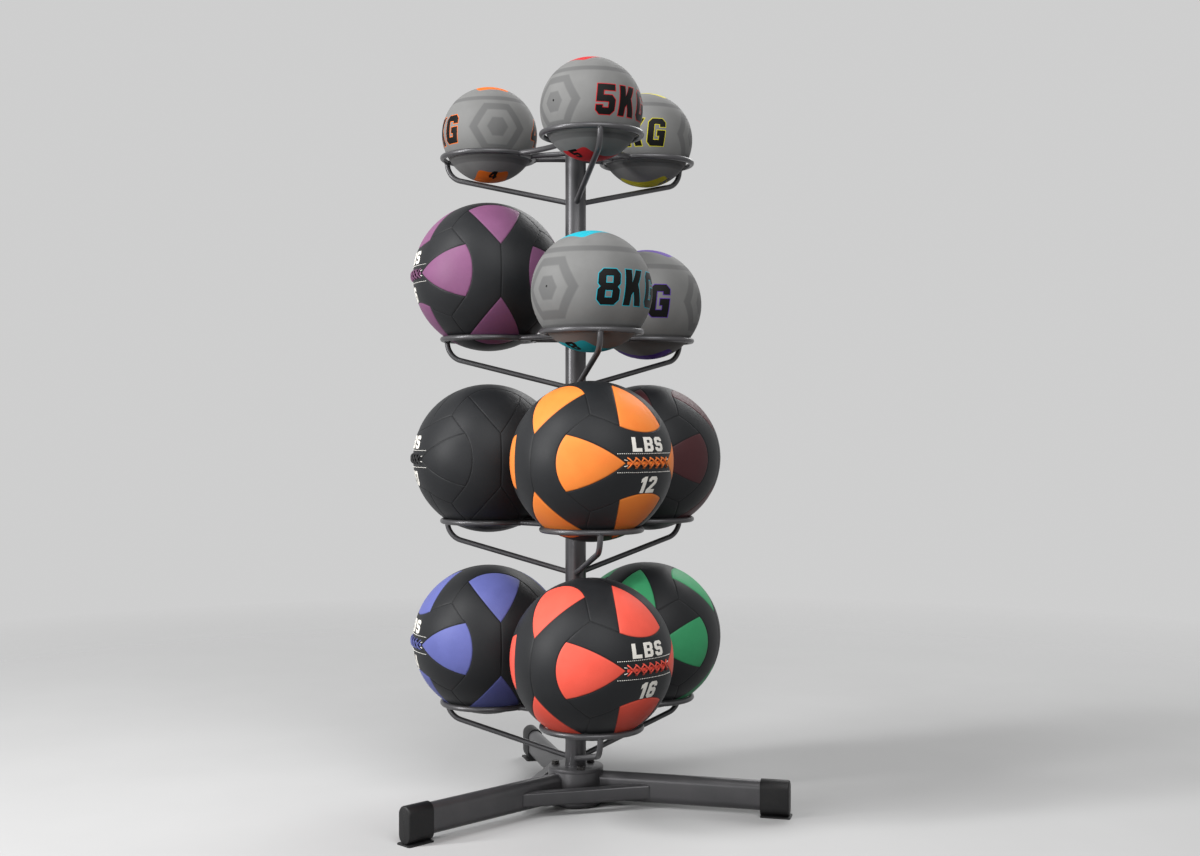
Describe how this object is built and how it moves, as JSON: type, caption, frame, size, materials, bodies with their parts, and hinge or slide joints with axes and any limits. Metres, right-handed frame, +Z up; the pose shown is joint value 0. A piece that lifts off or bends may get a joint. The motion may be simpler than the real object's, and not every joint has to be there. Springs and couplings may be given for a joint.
{
  "type": "exercise ball rack",
  "caption": "Free-standing exercise ball rack: open ring cradles on bent struts in tiers round one column, on a low splayed leg base, loaded with medicine and wall balls",
  "frame": {"origin": "middle of the outline seen from above, on the floor", "axes": "+Z up along the column; -Y is the front, where the pictured view is taken from"},
  "size_m": [0.8742, 0.8842, 1.6741],
  "materials": {
    "frame_paint": "satin gunmetal powder coat",
    "black_plastic": "black moulded plastic with a fine grain",
    "black_steel": "black oxide, slightly glossy",
    "grey_rubber": "matt grey rubber with a moulded pattern",
    "black_vinyl": "grained synthetic leather in charcoal and coloured panels"
  },
  "bodies": {
    "rack": {"brace_back_left": "frame_paint", "brace_left_right": "frame_paint", "brace_right_back": "frame_paint", "column": "frame_paint", "column_flange": "frame_paint", "column_plug": "black_plastic", "foot_cap_back": "black_plastic", "foot_cap_left": "black_plastic", "foot_cap_right": "black_plastic", "hub_base_plate": "frame_paint", "hub_bolt_back": "black_steel", "hub_bolt_left": "black_steel", "hub_bolt_right": "black_steel", "hub_tube": "frame_paint", "leg_back": "frame_paint", "leg_left": "frame_paint", "leg_right": "frame_paint", "ring_t1_front": "frame_paint", "ring_t1_left": "frame_paint", "ring_t1_right": "frame_paint", "ring_t2_front": "frame_paint", "ring_t2_left": "frame_paint", "ring_t2_right": "frame_paint", "ring_t3_front": "frame_paint", "ring_t3_left": "frame_paint", "ring_t3_right": "frame_paint", "ring_t4_front": "frame_paint", "ring_t4_left": "frame_paint", "ring_t4_right": "frame_paint", "strut_t1_front": "frame_paint", "strut_t1_left": "frame_paint", "strut_t1_right": "frame_paint", "strut_t2_front": "frame_paint", "strut_t2_left": "frame_paint", "strut_t2_right": "frame_paint", "strut_t3_front": "frame_paint", "strut_t3_left": "frame_paint", "strut_t3_right": "frame_paint", "strut_t4_front": "frame_paint", "strut_t4_left": "frame_paint", "strut_t4_right": "frame_paint"},
    "ball_t1_front": {"ball_t1_front": "grey_rubber"},
    "ball_t1_right": {"ball_t1_right": "grey_rubber"},
    "ball_t1_left": {"ball_t1_left": "grey_rubber"},
    "ball_t2_front": {"ball_t2_front": "grey_rubber"},
    "ball_t2_right": {"ball_t2_right": "grey_rubber"},
    "ball_t2_left": {"ball_t2_left": "black_vinyl"},
    "ball_t3_front": {"ball_t3_front": "black_vinyl"},
    "ball_t3_right": {"ball_t3_right": "black_vinyl"},
    "ball_t3_left": {"ball_t3_left": "black_vinyl"},
    "ball_t4_front": {"ball_t4_front": "black_vinyl"},
    "ball_t4_right": {"ball_t4_right": "black_vinyl"},
    "ball_t4_left": {"ball_t4_left": "black_vinyl"}
  },
  "joints": [
    {"name": "lift_out_t1_front", "type": "hinge", "parent": "rack", "child": "ball_t1_front", "pos_m": [0.00482, -0.37134, 1.50644], "axis": [0.9848, 0.1736, 0], "range_deg": [0, 140]},
    {"name": "lift_out_t1_right", "type": "hinge", "parent": "rack", "child": "ball_t1_right", "pos_m": [0.19972, 0.16416, 1.50644], "axis": [-0.6428, 0.766, 0], "range_deg": [0, 140]},
    {"name": "lift_out_t1_left", "type": "hinge", "parent": "rack", "child": "ball_t1_left", "pos_m": [-0.36148, 0.0652, 1.50644], "axis": [-0.342, -0.9397, 0], "range_deg": [0, 140]},
    {"name": "lift_out_t2_front", "type": "hinge", "parent": "rack", "child": "ball_t2_front", "pos_m": [0.00482, -0.37134, 1.07796], "axis": [0.9848, 0.1736, 0], "range_deg": [0, 125]},
    {"name": "lift_out_t2_right", "type": "hinge", "parent": "rack", "child": "ball_t2_right", "pos_m": [0.19972, 0.16416, 1.07796], "axis": [-0.6428, 0.766, 0], "range_deg": [0, 125]},
    {"name": "lift_out_t2_left", "type": "hinge", "parent": "rack", "child": "ball_t2_left", "pos_m": [-0.36148, 0.0652, 1.07796], "axis": [-0.342, -0.9397, 0], "range_deg": [0, 110]},
    {"name": "lift_out_t3_front", "type": "hinge", "parent": "rack", "child": "ball_t3_front", "pos_m": [0.00482, -0.37134, 0.64948], "axis": [0.9848, 0.1736, 0], "range_deg": [0, 110]},
    {"name": "lift_out_t3_right", "type": "hinge", "parent": "rack", "child": "ball_t3_right", "pos_m": [0.19972, 0.16416, 0.64948], "axis": [-0.6428, 0.766, 0], "range_deg": [0, 110]},
    {"name": "lift_out_t3_left", "type": "hinge", "parent": "rack", "child": "ball_t3_left", "pos_m": [-0.36148, 0.0652, 0.64948], "axis": [-0.342, -0.9397, 0], "range_deg": [0, 110]},
    {"name": "lift_out_t4_front", "type": "hinge", "parent": "rack", "child": "ball_t4_front", "pos_m": [0.00482, -0.37134, 0.221], "axis": [0.9848, 0.1736, 0], "range_deg": [0, 110]},
    {"name": "lift_out_t4_right", "type": "hinge", "parent": "rack", "child": "ball_t4_right", "pos_m": [0.19972, 0.16416, 0.221], "axis": [-0.6428, 0.766, 0], "range_deg": [0, 110]},
    {"name": "lift_out_t4_left", "type": "hinge", "parent": "rack", "child": "ball_t4_left", "pos_m": [-0.36148, 0.0652, 0.221], "axis": [-0.342, -0.9397, 0], "range_deg": [0, 110]}
  ]
}
